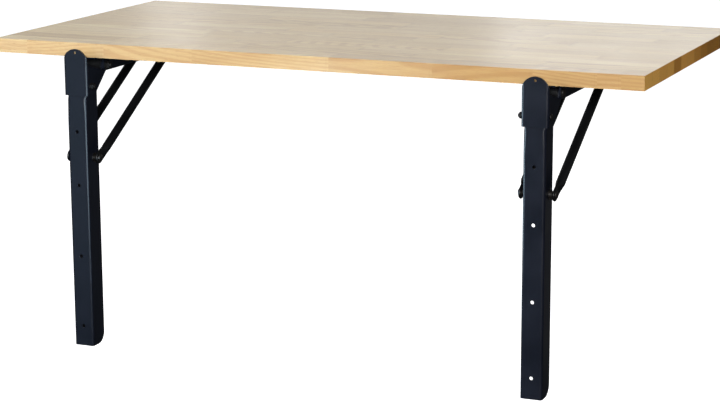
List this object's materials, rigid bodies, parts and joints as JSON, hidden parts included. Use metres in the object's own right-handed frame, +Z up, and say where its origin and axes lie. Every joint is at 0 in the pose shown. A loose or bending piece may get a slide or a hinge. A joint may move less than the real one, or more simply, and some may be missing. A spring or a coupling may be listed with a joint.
{
  "type": "wall-mounted fold-down table",
  "caption": "Fold-down wall table: a rectangular butcher-block top on folding steel brackets, each with a wall channel, a pivoting arm and a bail strut that props the arm.",
  "frame": {"origin": "on the wall plane, midway between the two brackets, level with the upper surface of the top", "axes": "+X along the top's length, +Y away from the wall, +Z up; the table is stored open, ready for use"},
  "size_m": [1.2, 0.62, 0.55],
  "materials": {
    "rubberwood": "clear satin lacquer over finger-jointed staves",
    "black_powder_coat": "satin black powder coat",
    "blackened_steel": "bolts, nuts, rivets, washers and spacers, blackened",
    "zinc_plated_steel": "bright zinc plate on the screws under the top"
  },
  "bodies": {
    "wall_brackets": {"wall_channel_left": "black_powder_coat", "hinge_sleeve_left": "black_powder_coat", "sleeve_bolt_left": "blackened_steel", "sleeve_nut_left": "blackened_steel", "sleeve_washer_left": "blackened_steel", "pivot_bolt_left": "blackened_steel", "pivot_nut_left": "blackened_steel", "pivot_washer_left_a": "blackened_steel", "pivot_washer_left_b": "blackened_steel", "pivot_spacer_left": "blackened_steel", "strut_rivet_left_a": "blackened_steel", "strut_rivet_left_b": "blackened_steel", "strut_bush_left_a": "blackened_steel", "strut_bush_left_b": "blackened_steel", "wall_channel_right": "black_powder_coat", "hinge_sleeve_right": "black_powder_coat", "sleeve_bolt_right": "blackened_steel", "sleeve_nut_right": "blackened_steel", "sleeve_washer_right": "blackened_steel", "pivot_bolt_right": "blackened_steel", "pivot_nut_right": "blackened_steel", "pivot_washer_right_a": "blackened_steel", "pivot_washer_right_b": "blackened_steel", "pivot_spacer_right": "blackened_steel", "strut_rivet_right_a": "blackened_steel", "strut_rivet_right_b": "blackened_steel", "strut_bush_right_a": "blackened_steel", "strut_bush_right_b": "blackened_steel"},
    "table": {"table_top": "rubberwood", "arm_left": "black_powder_coat", "arm_screw_left_1": "zinc_plated_steel", "arm_screw_left_2": "zinc_plated_steel", "arm_screw_left_3": "zinc_plated_steel", "arm_screw_left_4": "zinc_plated_steel", "arm_right": "black_powder_coat", "arm_screw_right_1": "zinc_plated_steel", "arm_screw_right_2": "zinc_plated_steel", "arm_screw_right_3": "zinc_plated_steel", "arm_screw_right_4": "zinc_plated_steel"},
    "strut_left": {"strut_bail_left": "black_powder_coat"},
    "strut_right": {"strut_bail_right": "black_powder_coat"}
  },
  "joints": [
    {"name": "fold", "type": "hinge", "parent": "wall_brackets", "child": "table", "pos_m": [0, 0.065, -0.0435], "axis": [-1, 0, 0], "range_deg": [0, 90]},
    {"name": "strut_left_swing", "type": "hinge", "parent": "wall_brackets", "child": "strut_left", "pos_m": [-0.425, 0.024, -0.205], "axis": [-1, 0, 0], "range_deg": [0, 115.2]},
    {"name": "strut_right_swing", "type": "hinge", "parent": "wall_brackets", "child": "strut_right", "pos_m": [0.425, 0.024, -0.205], "axis": [-1, 0, 0], "range_deg": [0, 115.2]}
  ],
  "couplings": [
    {"joint": "strut_left_swing", "follows": "fold", "ratio": 1.2793},
    {"joint": "strut_right_swing", "follows": "fold", "ratio": 1.2793}
  ]
}
